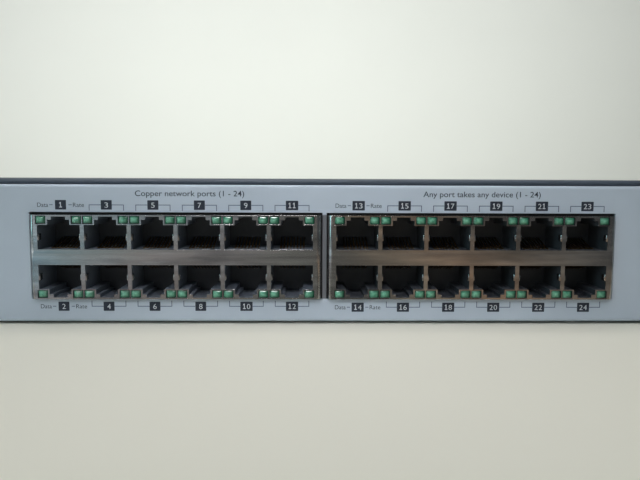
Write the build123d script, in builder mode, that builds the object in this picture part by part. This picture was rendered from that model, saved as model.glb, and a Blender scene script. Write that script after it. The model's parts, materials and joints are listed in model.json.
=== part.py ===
"""Desktop network switch: a flat sheet-steel case with two ganged blocks of network sockets.

Frame: +X to the right seen from the front, +Y from the front to the rear, +Z up.
Origin: centre of the outline, on the surface that the feet stand on. Lengths are in millimetres.
"""

import os

from build123d import *

os.makedirs("parts", exist_ok=True)

# ---------------------------------------------------------------- driving dimensions
width = 442.5
depth = 236.2
foot_height = 0.7
panel_height = 41.95
nose_height = 1.8  # the cover's folded front edge, above the panel
nose_setback = 1.2  # from the panel's face back to that edge
sheet = 1.0  # thickness of the case's steel
bend = 1.2  # outer radius of a bend in it
flange = 12.0  # depth of the front panel's folded edges
touch = 0.05  # play round a pin, screw or lens in its hole

port_pitch = 13.97
ports_per_row = 6
facing_port_pitch = 19.75  # between the two blocks' facing port columns
web_x = 100.0  # middle of the strip of panel between the two blocks
web_width = 1.25

jack_width = 87.4
jack_height = 25.5
jack_depth = 28.0
jack_proud = 1.6  # how far the blocks stand out of the panel
jack_above_floor = 7.35
cutout_gap_top = 0.75
cutout_gap_bottom = 0.25
board_thickness = 1.6

# ---------------------------------------------------------------- places worked out from them
front_y = -depth / 2
rear_y = depth / 2
floor_z = foot_height
floor_top = floor_z + sheet
panel_top = floor_z + panel_height
cover_top = panel_top + nose_height
ceiling = cover_top - sheet
side_x = width / 2  # outer face of the cover's sides
wall_x = side_x - sheet  # outer face of the base's sides
rear_wall_y = rear_y - sheet  # outer face of the base's rear wall

jack_front = front_y - jack_proud
jack_bottom = floor_z + jack_above_floor
jack_mid = jack_bottom + jack_height / 2
block_x = facing_port_pitch / 2 + (ports_per_row - 1) / 2 * port_pitch
jack_centres = {"left": web_x - block_x, "right": web_x + block_x}
port_offsets = [(i - (ports_per_row - 1) / 2) * port_pitch for i in range(ports_per_row)]

board_top = jack_bottom
board_bottom = board_top - board_thickness

SEATED = (Align.CENTER, Align.CENTER, Align.MIN)
REARWARD = (Align.CENTER, Align.MIN, Align.CENTER)
REARWARD_SEATED = (Align.CENTER, Align.MIN, Align.MIN)


def facing_front(y):
    """Plane at y, seen from the front: local x is X, local y is Z, and +extrude comes forward."""
    return Plane.XZ.offset(-y)


def save(builder, name):
    """Labels a finished piece and writes its STEP file."""
    builder.part.label = name
    export_step(builder.part, f"parts/{name}.step")


# ---------------------------------------------------------------- screws
screw_radius = 1.45
screw_hole_radius = screw_radius + touch
flat_head_radius = 2.4
pan_head_radius = 2.8
pan_head_height = 1.5
recess_width = 0.6
case_screw_length = 5.0
ground_screw_length = 6.0
long_screw_length = 8.0


def flat_screw(length):
    """Countersunk screw down -Z, its head's top at the origin."""
    cone = flat_head_radius - screw_radius
    with BuildPart() as screw:
        with BuildSketch(Plane.XZ):
            with BuildLine():
                Polyline((0, 0), (flat_head_radius, 0), (screw_radius, -cone), (screw_radius, -length),
                         (0, -length), close=True)
            make_face()
        revolve(axis=Axis.Z)
        with BuildSketch():
            Rectangle(flat_head_radius * 1.1, recess_width)
            Rectangle(recess_width, flat_head_radius * 1.1)
        extrude(amount=-cone / 2, mode=Mode.SUBTRACT)
    return screw.part


def pan_screw(length):
    """Pan-head screw down -Z, seated at the origin."""
    with BuildPart() as screw:
        Cylinder(pan_head_radius, pan_head_height, align=SEATED)
        fillet(screw.edges().group_by(Axis.Z)[-1], pan_head_height / 2)
        with Locations((0, 0, -length)):
            Cylinder(screw_radius, length, align=SEATED)
        with BuildSketch(Plane.XY.offset(pan_head_height)):
            Rectangle(pan_head_radius, recess_width)
            Rectangle(recess_width, pan_head_radius)
        extrude(amount=-pan_head_height / 2, mode=Mode.SUBTRACT)
    return screw.part


# ---------------------------------------------------------------- case: places of holes and boards
ear_tab_depth = 46.0
ear_tab_height = 37.0
ear_hole_radius = 2.0
ear_hole_spacing = (25.4, 15.9)  # along Y, along Z
vent_z = floor_z + 22.0  # middle height of the vents, ear holes and inlet
ear_centre = (front_y + flange + 22.0, vent_z)  # Y, Z

lip_height = 12.0
lip_start = front_y + flange + 1.0
lip_end = rear_wall_y - 3.0
side_screw_z = floor_z + 7.0
panel_screw_y = front_y + flange / 2
lip_screw_ys = (45.0, 100.0)
rear_lip = 9.0
rear_screw_xs = (-190.0, 0.0, 190.0)
rear_screw_z = cover_top - rear_lip / 2

fan_size = 40.0
fan_depth = 20.0
fan_duct_radius = 19.0
fan_hole_spacing = 32.0
fan_ys = {"front": -36.0, "rear": 10.0}
fan_z = floor_top + fan_size / 2
fan_wall = (-62.0, 36.0)  # Y range of the tall part of the left side
fan_wall_top = panel_top - 0.2
fan_vent_offsets = [(i - 2.5) * 6.0 for i in range(6)]

side_vent_ys = [-40.0 + 8.0 * i for i in range(13)]
rear_vent_xs = [20.0 + 12.0 * i for i in range(14)]
vent_slot = (24.0, 3.0)
fan_vent_slot = (34.0, 3.0)

inlet_x = -135.0
inlet_z = vent_z
inlet_body = (27.6, 20.0)
inlet_screw_spacing = 40.0
ground_x = -80.0
ground_z = floor_z + 12.0

rivet_xs = (-205.0, -70.0, 0.0, 205.0)
rivet_y = front_y + 8.0
rivet_radius = 1.6
rivet_head = (3.2, 0.5)  # radius and height of the head under the floor
rivet_tail = (2.4, 1.0)  # and of the set tail inside

foot_radius = 7.0
foot_edge = 0.4
foot_points = [(x, y) for x in (-195.0, 195.0) for y in (-95.0, 95.0)]

main_board_x = (-62.0, 212.0)
main_board_y = (front_y + 2.0, 62.0)
main_holes = [(x, y) for x in (-56.0, 75.0, 206.0) for y in (-84.0, -12.0, 56.0)]
psu_board_x = (-184.0, -86.0)
psu_board_y = (-36.0, 84.0)
psu_holes = [(x, y) for x in (-179.0, -91.0) for y in (-31.0, 79.0)]
control_board_x = (-203.0, -107.0)
control_board_y = (front_y + 5.6, -84.0)
control_holes = [(-198.0, -89.0), (-112.0, -89.0)]
board_holes = main_holes + psu_holes + control_holes
standoff_radius = 2.75

control_z = board_top + 4.0  # height of the lamps and buttons
lamp_radius = 1.5
lamp_xs = [-196.0 + 9.0 * i for i in range(5)]
buttons = {
    "mode": {"x": -146.0, "radius": 3.0, "front": front_y - 1.2},
    "reset": {"x": -126.0, "radius": 1.6, "front": front_y + 0.3},
}

# ---------------------------------------------------------------- case: front panel
with BuildPart() as front_panel:
    with Locations((0, front_y, floor_z)):
        Box(2 * wall_x, flange, panel_height, align=REARWARD_SEATED)
    fillet(front_panel.faces().sort_by(Axis.Y)[0].edges(), bend)
    with Locations((0, front_y + sheet, floor_z + sheet)):
        Box(2 * (wall_x - sheet), flange, panel_height - 2 * sheet, align=REARWARD_SEATED,
            mode=Mode.SUBTRACT)
    cutout_height = jack_height + cutout_gap_top + cutout_gap_bottom
    with BuildSketch(facing_front(front_y)):
        with Locations(*[(x, jack_bottom - cutout_gap_bottom) for x in jack_centres.values()]):
            Rectangle(2 * block_x - web_width, cutout_height, align=(Align.CENTER, Align.MIN))
        with Locations(*[(x, control_z) for x in lamp_xs]):
            Circle(lamp_radius + 2 * touch)
        for button in buttons.values():
            with Locations((button["x"], control_z)):
                Circle(button["radius"] + 2 * touch)
    extrude(amount=-sheet, mode=Mode.SUBTRACT)
    with BuildSketch(Plane.XY.offset(floor_z)):
        with Locations(*[(x, rivet_y) for x in rivet_xs]):
            Circle(rivet_radius + touch)
    extrude(amount=sheet, mode=Mode.SUBTRACT)
    with BuildSketch(Plane.YZ):
        with Locations((panel_screw_y, side_screw_z)):
            Circle(screw_hole_radius)
    extrude(amount=side_x, both=True, mode=Mode.SUBTRACT)
save(front_panel, "front_panel")

# ---------------------------------------------------------------- case: base
lap_top = floor_top + sheet  # the floor's raised front strip lies on the panel's folded edge
lap_front = front_y + 3.0
lap_play = 0.5  # between the strip's ends and the base's sides
with BuildPart() as chassis_base:
    with Locations((0, lip_start, floor_z)):
        Box(2 * wall_x, rear_wall_y - lip_start, sheet, align=REARWARD_SEATED)
    with Locations((0, rear_wall_y, floor_z)):
        Box(2 * wall_x, sheet, ceiling - floor_z, align=(Align.CENTER, Align.MAX, Align.MIN))
    with Locations((0, rear_wall_y, ceiling)):
        Box(2 * wall_x, rear_lip, sheet, align=(Align.CENTER, Align.MAX, Align.MAX))
    fillet(chassis_base.edges().filter_by(Axis.X).group_by(Axis.Y)[-1], bend)
    with Locations((0, lap_front, floor_top)):
        Box(2 * (wall_x - sheet - lap_play), lip_start + sheet - lap_front, sheet, align=REARWARD_SEATED)
    for side in (-1, 1):
        with BuildSketch(Plane.YZ.offset(side * wall_x)):
            with Locations((lip_start, floor_z)):
                Rectangle(lip_end - lip_start, lip_height, align=(Align.MIN, Align.MIN))
                Rectangle(ear_tab_depth, ear_tab_height, align=(Align.MIN, Align.MIN))
            if side < 0:
                with Locations((fan_wall[0], floor_z)):
                    Rectangle(fan_wall[1] - fan_wall[0], fan_wall_top - floor_z,
                              align=(Align.MIN, Align.MIN))
        extrude(amount=-side * sheet)
    with BuildSketch(Plane.YZ):
        with Locations(ear_centre):
            with GridLocations(*ear_hole_spacing, 2, 2):
                Circle(ear_hole_radius)
        with Locations(*[(y, side_screw_z) for y in lip_screw_ys]):
            Circle(screw_hole_radius)
    extrude(amount=side_x, both=True, mode=Mode.SUBTRACT)
    with BuildSketch(Plane.YZ.offset(-wall_x)):
        with Locations(*[(y, fan_z) for y in fan_ys.values()]):
            Circle(fan_duct_radius)
    extrude(amount=sheet, mode=Mode.SUBTRACT)
    for fan_y in fan_ys.values():
        with Locations(Plane(origin=(-wall_x, fan_y, fan_z), z_dir=(-1, 0, 0))):
            with GridLocations(fan_hole_spacing, fan_hole_spacing, 2, 2):
                CounterSinkHole(screw_hole_radius, flat_head_radius + touch, depth=2 * sheet)
    with BuildSketch(facing_front(rear_wall_y)):
        with Locations((inlet_x, inlet_z)):
            Rectangle(inlet_body[0] + 2 * touch, inlet_body[1] + 2 * touch)
            with GridLocations(inlet_screw_spacing, 1, 2, 1):
                Circle(screw_hole_radius)
        with Locations(*[(x, vent_z) for x in rear_vent_xs]):
            SlotOverall(*vent_slot, rotation=90)
        with Locations(*[(x, rear_screw_z) for x in rear_screw_xs], (ground_x, ground_z)):
            Circle(screw_hole_radius)
    extrude(amount=sheet, mode=Mode.SUBTRACT)
    with BuildSketch(Plane.XY.offset(floor_top)):
        with Locations(*[(x, rivet_y) for x in rivet_xs]):
            Circle(rivet_radius + touch)
    extrude(amount=sheet, mode=Mode.SUBTRACT)
save(chassis_base, "chassis_base")

# ---------------------------------------------------------------- case: cover
nose_radius = nose_height / 2
nose_y = front_y + nose_setback + nose_radius
with BuildSketch(facing_front(rear_y)) as cover_outline:
    with Locations((0, floor_z)):
        Rectangle(width, cover_top - floor_z, align=(Align.CENTER, Align.MIN))
    fillet(cover_outline.vertices().group_by(Axis.Y)[-1], bend)

with BuildPart() as top_cover:
    with BuildSketch(Plane.YZ):
        with Locations((nose_y, cover_top - nose_radius)):
            Circle(nose_radius)
            Rectangle(front_y + flange - nose_y, nose_height, align=(Align.MIN, Align.CENTER))
        with Locations((nose_y, cover_top)):
            Rectangle(rear_y - nose_y, sheet, align=(Align.MIN, Align.MAX))
        with Locations((rear_y, cover_top)):
            Rectangle(sheet, rear_lip, align=(Align.MAX, Align.MAX))
    extrude(amount=side_x, both=True)
    fillet(top_cover.edges().filter_by(Axis.X).group_by(Axis.Z)[-1].sort_by(Axis.Y)[-1], bend)
    for side in (-1, 1):
        with Locations((side * (side_x - sheet / 2), nose_y, floor_z)):
            Box(sheet, rear_y - nose_y, ceiling - floor_z, align=REARWARD_SEATED)
    extrude(cover_outline.sketch, amount=depth, mode=Mode.INTERSECT)
    with BuildSketch(Plane.YZ):
        with Locations(ear_centre):
            with GridLocations(*ear_hole_spacing, 2, 2):
                Circle(ear_hole_radius)
    extrude(amount=side_x, both=True, mode=Mode.SUBTRACT)
    for side in (-1, 1):
        for screw_y in (panel_screw_y, *lip_screw_ys):
            with Locations(Plane(origin=(side * side_x, screw_y, side_screw_z), z_dir=(side, 0, 0))):
                CounterSinkHole(screw_hole_radius, flat_head_radius + touch, depth=2 * sheet)
    with BuildSketch(Plane.YZ.offset(-side_x)):
        for fan_y in fan_ys.values():
            with Locations(*[(fan_y + offset, fan_z) for offset in fan_vent_offsets]):
                SlotOverall(*fan_vent_slot, rotation=90)
    extrude(amount=sheet, mode=Mode.SUBTRACT)
    with BuildSketch(Plane.YZ.offset(side_x)):
        with Locations(*[(y, vent_z) for y in side_vent_ys]):
            SlotOverall(*vent_slot, rotation=90)
    extrude(amount=-sheet, mode=Mode.SUBTRACT)
    with BuildSketch(facing_front(rear_y)):
        with Locations(*[(x, rear_screw_z) for x in rear_screw_xs]):
            Circle(screw_hole_radius)
    extrude(amount=sheet, mode=Mode.SUBTRACT)
save(top_cover, "top_cover")

# ---------------------------------------------------------------- case: fasteners and feet
with BuildPart() as cover_screws_side:
    for side in (-1, 1):
        for screw_y in (panel_screw_y, *lip_screw_ys):
            with Locations(Plane(origin=(side * side_x, screw_y, side_screw_z), z_dir=(side, 0, 0))):
                add(flat_screw(case_screw_length))
save(cover_screws_side, "cover_screws_side")

with BuildPart() as cover_screws_rear:
    for screw_x in rear_screw_xs:
        with Locations(Plane(origin=(screw_x, rear_y, rear_screw_z), z_dir=(0, 1, 0))):
            add(pan_screw(case_screw_length))
save(cover_screws_rear, "cover_screws_rear")

with BuildPart() as ground_screw:
    with Locations(Plane(origin=(ground_x, rear_wall_y, ground_z), z_dir=(0, 1, 0))):
        add(pan_screw(ground_screw_length))
save(ground_screw, "ground_screw")

with BuildPart() as panel_rivets:
    with Locations(*[(x, rivet_y, 0) for x in rivet_xs]):
        with Locations((0, 0, floor_z - rivet_head[1])):
            Cylinder(*rivet_head, align=SEATED)
        with Locations((0, 0, floor_z)):
            Cylinder(rivet_radius, lap_top - floor_z, align=SEATED)
        with Locations((0, 0, lap_top)):
            Cylinder(*rivet_tail, align=SEATED)
save(panel_rivets, "panel_rivets")

with BuildPart() as rubber_feet:
    with Locations(*[(x, y, 0) for x, y in foot_points]):
        Cylinder(foot_radius, foot_height, align=SEATED)
    fillet(rubber_feet.edges().group_by(Axis.Z)[0], foot_edge)
save(rubber_feet, "rubber_feet")

# ---------------------------------------------------------------- boards
boards = {
    "main_board": (main_board_x, main_board_y),
    "psu_board": (psu_board_x, psu_board_y),
    "control_board": (control_board_x, control_board_y),
}
for board_name, (board_xs, board_ys) in boards.items():
    with BuildPart() as board:
        with Locations((board_xs[0], board_ys[0], board_bottom)):
            Box(board_xs[1] - board_xs[0], board_ys[1] - board_ys[0], board_thickness, align=Align.MIN)
        with BuildSketch(Plane.XY.offset(board_bottom)):
            for hole_x, hole_y in board_holes:
                if board_xs[0] < hole_x < board_xs[1] and board_ys[0] < hole_y < board_ys[1]:
                    with Locations((hole_x, hole_y)):
                        Circle(screw_hole_radius)
        extrude(amount=board_thickness, mode=Mode.SUBTRACT)
    save(board, board_name)

with BuildPart() as board_standoffs:
    with BuildSketch(Plane.XY.offset(floor_top)):
        with Locations(*board_holes):
            Circle(standoff_radius)
            Circle(screw_hole_radius, mode=Mode.SUBTRACT)
    extrude(amount=board_bottom - floor_top)
save(board_standoffs, "board_standoffs")

with BuildPart() as board_screws:
    with Locations(*[(x, y, board_top) for x, y in board_holes]):
        add(pan_screw(case_screw_length))
save(board_screws, "board_screws")

# ---------------------------------------------------------------- network sockets
shield = 0.25
opening_width = 12.75
opening_low = 2.35  # heights are counted from the block's middle, upwards or downwards
opening_high = 9.75
latch_steps = ((6.6, 11.3), (4.2, 12.25))  # widths and tops of the two steps over the opening
window = (3.1, 2.5)
lens = (3.0, 2.4)
lens_corner = 0.5
lens_edge = 0.3
window_offset = (5.3, 11.25)  # from the port's centre line, from the block's middle
cavity_depth = 13.5
lens_depth = 6.0
contact_pitch = 1.02
contacts_per_port = 8
contact_width = 0.4
contact_thickness = 0.3
contact_rise = 2.5
contact_ys = (jack_front + 4.0, jack_front + 5.5, jack_front + 12.8)  # foot, bend and tip
cavity_end = jack_front + shield + cavity_depth
insert_depth = jack_front + jack_depth - shield - touch - cavity_end
housing_height = jack_height - shield - touch
tab_height = 1.9
tab_reach = 0.5
tab_length = 3.0
tab_shoulder = (0.7, 0.3)  # where the tab's rounded nose swells most, as parts of tab_reach


def block_outline(inset):
    """Plan of one block, with its front corners bent, inside its outer faces by inset."""
    with BuildSketch(mode=Mode.PRIVATE) as plan:
        with Locations((0, jack_front + inset)):
            Rectangle(jack_width - 2 * inset, jack_depth - 2 * inset, align=(Align.CENTER, Align.MIN))
        fillet(plan.vertices().group_by(Axis.Y)[0], bend - min(inset, bend / 2))
    return plan.sketch


def openings():
    """Outlines of a block's ports, seen from the front, drawn into the current sketch."""
    for row in (-1, 1):
        for offset in port_offsets:
            with Locations((offset, jack_mid + row * (opening_low + opening_high) / 2)):
                Rectangle(opening_width, opening_high - opening_low)
            for step_width, step_top in latch_steps:
                with Locations((offset, jack_mid + row * (opening_high + step_top) / 2)):
                    Rectangle(step_width, step_top - opening_high)


def window_points():
    """Centres of a block's lamp windows, seen from the front."""
    return [(offset + side * window_offset[0], jack_mid + row * window_offset[1])
            for row in (-1, 1) for offset in port_offsets for side in (-1, 1)]


for block, centre in jack_centres.items():
    front = Plane(origin=(centre, jack_front, 0), x_dir=(1, 0, 0), z_dir=(0, -1, 0))
    inside = Plane(origin=(centre, jack_front + shield, 0), x_dir=(1, 0, 0), z_dir=(0, -1, 0))
    with BuildPart() as jack_shield:
        with BuildSketch(Plane.XY.offset(jack_bottom)):
            with Locations((centre, 0)):
                add(block_outline(0))
        extrude(amount=jack_height)
        with BuildSketch(Plane.XY.offset(jack_bottom)):
            with Locations((centre, 0)):
                add(block_outline(shield))
        extrude(amount=jack_height - shield, mode=Mode.SUBTRACT)
        with BuildSketch(front):
            openings()
            with Locations(*window_points()):
                Rectangle(*window)
        extrude(amount=-shield, mode=Mode.SUBTRACT)
        for row in (-1, 1):
            tab_z = jack_mid + row * (opening_low + opening_high) / 2
            with BuildSketch(Plane.XY.offset(tab_z - tab_height / 2)):
                for offset in port_offsets:
                    for side in (-1, 1):
                        edge_x = centre + offset + side * opening_width / 2
                        root = (edge_x, jack_front)
                        shoulder = (edge_x - side * tab_shoulder[0] * tab_reach,
                                    jack_front + tab_shoulder[1] * tab_reach)
                        crest = (edge_x - side * tab_reach, jack_front + tab_reach)
                        tail = (edge_x, jack_front + tab_length)
                        with BuildLine():
                            ThreePointArc(root, shoulder, crest)
                            Polyline(crest, tail, root)
                        make_face()
            extrude(amount=tab_height)
    save(jack_shield, f"jack_shield_{block}")

    with BuildPart() as jack_housing:
        with BuildSketch(Plane.XY.offset(jack_bottom)):
            with Locations((centre, 0)):
                add(block_outline(shield + touch))
        extrude(amount=housing_height)
        split(bisect_by=facing_front(cavity_end), keep=Keep.TOP)
        with BuildSketch(inside):
            openings()
        extrude(amount=-cavity_depth, mode=Mode.SUBTRACT)
        with BuildSketch(inside):
            with Locations(*window_points()):
                Rectangle(*window)
        extrude(amount=-lens_depth, mode=Mode.SUBTRACT)
    save(jack_housing, f"jack_housing_{block}")

    with BuildPart() as jack_inserts:
        with Locations((centre, cavity_end, jack_bottom)):
            with GridLocations(port_pitch, 1, ports_per_row, 1):
                Box(port_pitch - 2 * touch, insert_depth, housing_height, align=REARWARD_SEATED)
    save(jack_inserts, f"jack_inserts_{block}")

    with BuildPart() as jack_lenses:
        with BuildSketch(front):
            with Locations(*window_points()):
                RectangleRounded(*lens, lens_corner)
        extrude(amount=-lens_depth)
        fillet(jack_lenses.faces().group_by(Axis.Y)[0].edges(), lens_edge)
    save(jack_lenses, f"jack_lenses_{block}")

    with BuildPart() as jack_contacts:
        for offset in port_offsets:
            for i in range(contacts_per_port):
                contact_x = centre + offset + (i - (contacts_per_port - 1) / 2) * contact_pitch
                for row in (-1, 1):
                    foot_z = jack_mid + row * opening_low
                    tip_z = foot_z + row * contact_rise
                    thick = row * contact_thickness
                    with BuildSketch(Plane.YZ.offset(contact_x - contact_width / 2)):
                        with BuildLine():
                            Polyline((contact_ys[0], foot_z), (contact_ys[1], foot_z), (contact_ys[2], tip_z),
                                     (contact_ys[2], tip_z + thick), (contact_ys[1], foot_z + thick),
                                     (contact_ys[0], foot_z + thick), close=True)
                        make_face()
                    extrude(amount=contact_width)
    save(jack_contacts, f"jack_contacts_{block}")

# ---------------------------------------------------------------- main board's components
chip_points = [(40.0, -45.0), (100.0, -45.0), (160.0, -45.0)]
chip_size = (20.0, 20.0, 1.6)
core_point = (104.0, 8.0)
core_size = (31.0, 31.0, 2.4)
core_sink = (40.0, 40.0, 14.0)
chip_sink = (24.0, 24.0, 12.0)
sink_base = 2.5
fin_pitch = 4.0
fin_thickness = 1.2
magnetics_size = (24.0, 15.0, 5.8)
magnetics_y = -70.0
magnetics_pitch = 28.0
magnetics_edge = 0.5
capacitor_size = (4.0, 11.5)  # radius, height
capacitor_pitch = 14.0
capacitor_edge = 0.6
capacitor_groups = (((-20.0, 35.0), 3), ((155.0, 10.0), 2))  # middle, and how many along each side
crystal_size = (4.6, 11.0, 3.5)
crystal_points = [(70.0, -35.0), (130.0, -35.0), (140.0, 20.0)]
memory_size = (12.0, 18.0, 1.1)
memory_points = [(60.0, 8.0), (60.0, 30.0)]


def heat_sink(length, breadth, height):
    """Finned heat sink, its underside centred on the origin."""
    fins = int((length - fin_thickness) / fin_pitch) + 1
    with BuildPart() as sink:
        Box(length, breadth, sink_base, align=SEATED)
        with GridLocations((length - fin_thickness) / (fins - 1), 1, fins, 1):
            Box(fin_thickness, breadth, height, align=SEATED)
    return sink.part


with BuildPart() as switch_chips:
    with Locations(*[(x, y, board_top) for x, y in chip_points]):
        Box(*chip_size, align=SEATED)
    with Locations((*core_point, board_top)):
        Box(*core_size, align=SEATED)
save(switch_chips, "switch_chips")

with BuildPart() as chip_heat_sinks:
    with Locations(*[(x, y, board_top + chip_size[2]) for x, y in chip_points]):
        add(heat_sink(*chip_sink))
    with Locations((*core_point, board_top + core_size[2])):
        add(heat_sink(*core_sink))
save(chip_heat_sinks, "chip_heat_sinks")

with BuildPart() as board_magnetics:
    for centre in jack_centres.values():
        with Locations((centre, magnetics_y, board_top)):
            with GridLocations(magnetics_pitch, 1, 3, 1):
                Box(*magnetics_size, align=SEATED)
    chamfer(board_magnetics.edges().group_by(Axis.Z)[-1], magnetics_edge)
save(board_magnetics, "board_magnetics")

with BuildPart() as board_capacitors:
    for group_point, count in capacitor_groups:
        with Locations((*group_point, board_top)):
            with GridLocations(capacitor_pitch, capacitor_pitch, count, count):
                Cylinder(*capacitor_size, align=SEATED)
    fillet(board_capacitors.edges().group_by(Axis.Z)[-1], capacitor_edge)
save(board_capacitors, "board_capacitors")

with BuildPart() as clock_crystals:
    with BuildSketch(Plane.XY.offset(board_top)):
        with Locations(*crystal_points):
            SlotOverall(crystal_size[1], crystal_size[0], rotation=90)
    extrude(amount=crystal_size[2])
save(clock_crystals, "clock_crystals")

with BuildPart() as memory_chips:
    with Locations(*[(x, y, board_top) for x, y in memory_points]):
        Box(*memory_size, align=SEATED)
save(memory_chips, "memory_chips")

# ---------------------------------------------------------------- headers for the internal leads
header_height = 7.0
header_width = 6.0
header_wall = 1.0
fan_header_length = 8.0
dc_header_y = 40.0
dc_wire_pitch = 2.5
dc_wires = 6
dc_wire = (0.9, 5.0)  # a lead's radius, and the radius of its bends
dc_rise = 12.0
fan_wire = (0.8, 6.0)
fan_wire_offset = 1.2
psu_output_x = -95.0
main_input_x = -50.0
fan_header_x = -50.0

with BuildPart() as board_headers:
    with Locations((main_input_x, dc_header_y, board_top), (psu_output_x, dc_header_y, board_top)):
        Box(header_width, dc_wires * dc_wire_pitch + 2 * header_wall, header_height, align=SEATED)
    with Locations(*[(fan_header_x, y, board_top) for y in fan_ys.values()]):
        Box(header_width, fan_header_length, header_height, align=SEATED)
save(board_headers, "board_headers")


def lead(points, wire_radius, corner_radius):
    """Insulated wire along straight runs joined by arcs."""
    with BuildPart() as wire:
        with BuildLine() as route:
            FilletPolyline(*points, radius=corner_radius)
        with BuildSketch(Plane(origin=route.line @ 0, z_dir=route.line % 0)):
            Circle(wire_radius)
        sweep()
    return wire.part


header_top = board_top + header_height
with BuildPart() as dc_harness:
    for i in range(dc_wires):
        wire_y = dc_header_y + (i - (dc_wires - 1) / 2) * dc_wire_pitch
        add(lead([(psu_output_x, wire_y, header_top), (psu_output_x, wire_y, header_top + dc_rise),
                  (main_input_x, wire_y, header_top + dc_rise), (main_input_x, wire_y, header_top)],
                 *dc_wire))
save(dc_harness, "dc_harness")

fan_inner_x = -wall_x + sheet + fan_depth
fan_lead_z = fan_z + fan_size / 2 - 2.5
with BuildPart() as fan_leads:
    for fan_y in fan_ys.values():
        for wire_y in (fan_y - fan_wire_offset, fan_y + fan_wire_offset):
            add(lead([(fan_inner_x, wire_y, fan_lead_z), (fan_header_x, wire_y, fan_lead_z),
                      (fan_header_x, wire_y, header_top)], *fan_wire))
save(fan_leads, "fan_leads")

# ---------------------------------------------------------------- power supply
transformer = (-120.0, 10.0)
leg = (10.0, 12.0)  # the core's middle leg, across and through
core_window = (7.0, 20.0)
core_yoke = 5.0
bobbin_wall = 0.2
winding_corner = 4.0
bulk_capacitor = (9.0, 28.0)  # radius, height
bulk_capacitor_point = (-150.0, 44.0)
output_capacitor = (5.0, 20.0)
output_capacitor_points = [(x, -18.0) for x in (-130.0, -115.0, -100.0)]
can_edge = 0.8
psu_sink_y = -5.0
psu_sink_xs = (-168.0, -150.0)
psu_sink_web = (2.0, 50.0, 26.0)
psu_sink_cap = (10.0, 50.0, 2.0)
power_device = (4.5, 10.0, 15.0)
power_device_pitch = 20.0
power_device_rise = 6.0
choke_point = (-115.0, 60.0)
choke_radii = (9.0, 4.5)
choke_height = 9.0
choke_edge = 2.0
fuse_point = (-165.0, 55.0)
fuse_size = (8.0, 22.0, 8.5)
fuse_edge = 3.0

with BuildPart() as psu_transformer_core:
    core_width = leg[0] + 2 * core_window[0] + 2 * core_yoke
    core_height = core_window[1] + 2 * core_yoke
    with BuildSketch(facing_front(transformer[1] + leg[1] / 2)):
        with Locations((transformer[0], board_top)):
            Rectangle(core_width, core_height, align=(Align.CENTER, Align.MIN))
        with Locations((transformer[0], board_top + core_height / 2)):
            with GridLocations(leg[0] + core_window[0], 1, 2, 1):
                Rectangle(*core_window, mode=Mode.SUBTRACT)
    extrude(amount=leg[1])
save(psu_transformer_core, "psu_transformer_core")

with BuildPart() as psu_transformer_winding:
    with BuildSketch(Plane.XY.offset(board_top + core_yoke + bobbin_wall)):
        with Locations(transformer):
            RectangleRounded(leg[0] + 2 * core_window[0] - 2 * bobbin_wall, leg[1] + 2 * core_window[0],
                             winding_corner)
            Rectangle(leg[0] + 2 * bobbin_wall, leg[1] + 2 * bobbin_wall, mode=Mode.SUBTRACT)
    extrude(amount=core_window[1] - 2 * bobbin_wall)
save(psu_transformer_winding, "psu_transformer_winding")

with BuildPart() as psu_capacitors:
    with Locations((*bulk_capacitor_point, board_top)):
        Cylinder(*bulk_capacitor, align=SEATED)
    with Locations(*[(x, y, board_top) for x, y in output_capacitor_points]):
        Cylinder(*output_capacitor, align=SEATED)
    can_tops = psu_capacitors.faces().filter_by(lambda face: face.center().Z > board_top)
    fillet(can_tops.filter_by(Axis.Z).edges(), can_edge)
save(psu_capacitors, "psu_capacitors")

with BuildPart() as psu_heat_sinks:
    for sink_x in psu_sink_xs:
        with Locations((sink_x, psu_sink_y, board_top)):
            Box(*psu_sink_web, align=SEATED)
        with Locations((sink_x, psu_sink_y, board_top + psu_sink_web[2])):
            Box(*psu_sink_cap, align=SEATED)
save(psu_heat_sinks, "psu_heat_sinks")

with BuildPart() as psu_power_devices:
    for sink_x in psu_sink_xs:
        with Locations((sink_x + psu_sink_web[0] / 2, psu_sink_y, board_top + power_device_rise)):
            with GridLocations(1, power_device_pitch, 1, 2):
                Box(*power_device, align=(Align.MIN, Align.CENTER, Align.MIN))
save(psu_power_devices, "psu_power_devices")

with BuildPart() as psu_choke:
    with BuildSketch(Plane.XY.offset(board_top)):
        with Locations(choke_point):
            Circle(choke_radii[0])
            Circle(choke_radii[1], mode=Mode.SUBTRACT)
    extrude(amount=choke_height)
    fillet(psu_choke.edges().group_by(Axis.Z)[-1], choke_edge)
save(psu_choke, "psu_choke")

with BuildPart() as psu_fuse:
    with Locations((*fuse_point, board_top)):
        Box(*fuse_size, align=SEATED)
    fillet(psu_fuse.edges().filter_by(Axis.Y).group_by(Axis.Z)[-1], fuse_edge)
save(psu_fuse, "psu_fuse")

insulator_thickness = 0.5
with BuildPart() as psu_insulator:
    with BuildSketch(Plane.XY.offset(floor_top)):
        with Locations(((psu_board_x[0] + psu_board_x[1]) / 2, (psu_board_y[0] + psu_board_y[1]) / 2)):
            Rectangle(psu_board_x[1] - psu_board_x[0], psu_board_y[1] - psu_board_y[0])
        with Locations(*psu_holes):
            Circle(standoff_radius + touch, mode=Mode.SUBTRACT)
    extrude(amount=insulator_thickness)
save(psu_insulator, "psu_insulator")

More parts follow.
